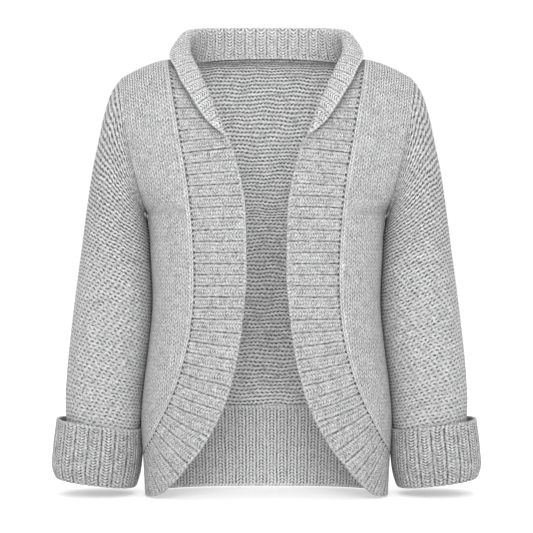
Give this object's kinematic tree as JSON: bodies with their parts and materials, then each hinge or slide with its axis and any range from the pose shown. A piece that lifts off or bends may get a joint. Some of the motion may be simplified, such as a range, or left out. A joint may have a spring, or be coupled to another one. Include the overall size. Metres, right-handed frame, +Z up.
{
  "type": "open-front cardigan",
  "caption": "Open-front chunky knit cardigan with a ribbed shawl collar and curved front bands, wide dropped sleeves and turned-up ribbed cuffs, filled out as worn.",
  "frame": {"origin": "middle of the neck, level with the shoulder seams' inner ends, where the wearer's neck and shoulders hold the garment", "axes": "+Z up, -Y out of the open front, +X to the wearer's left"},
  "size_m": [0.6094, 0.2154, 0.6713],
  "materials": {
    "back": "dull heather grey wool knit",
    "back_hem": "dull heather grey wool knit, ribbed",
    "band_left": "dull heather grey wool knit, ribbed",
    "band_right": "dull heather grey wool knit, ribbed",
    "collar": "dull heather grey wool knit, ribbed",
    "cuff_left": "dull heather grey wool knit, ribbed",
    "cuff_right": "dull heather grey wool knit, ribbed",
    "front_left": "dull heather grey wool knit",
    "front_right": "dull heather grey wool knit",
    "sleeve_left": "dull heather grey wool knit",
    "sleeve_right": "dull heather grey wool knit"
  },
  "bodies": {
    "root": {"back": "back", "back_hem": "back_hem", "band_left": "band_left", "band_right": "band_right", "collar": "collar", "cuff_left": "cuff_left", "cuff_right": "cuff_right", "front_left": "front_left", "front_right": "front_right", "sleeve_left": "sleeve_left", "sleeve_right": "sleeve_right"}
  },
  "joints": []
}
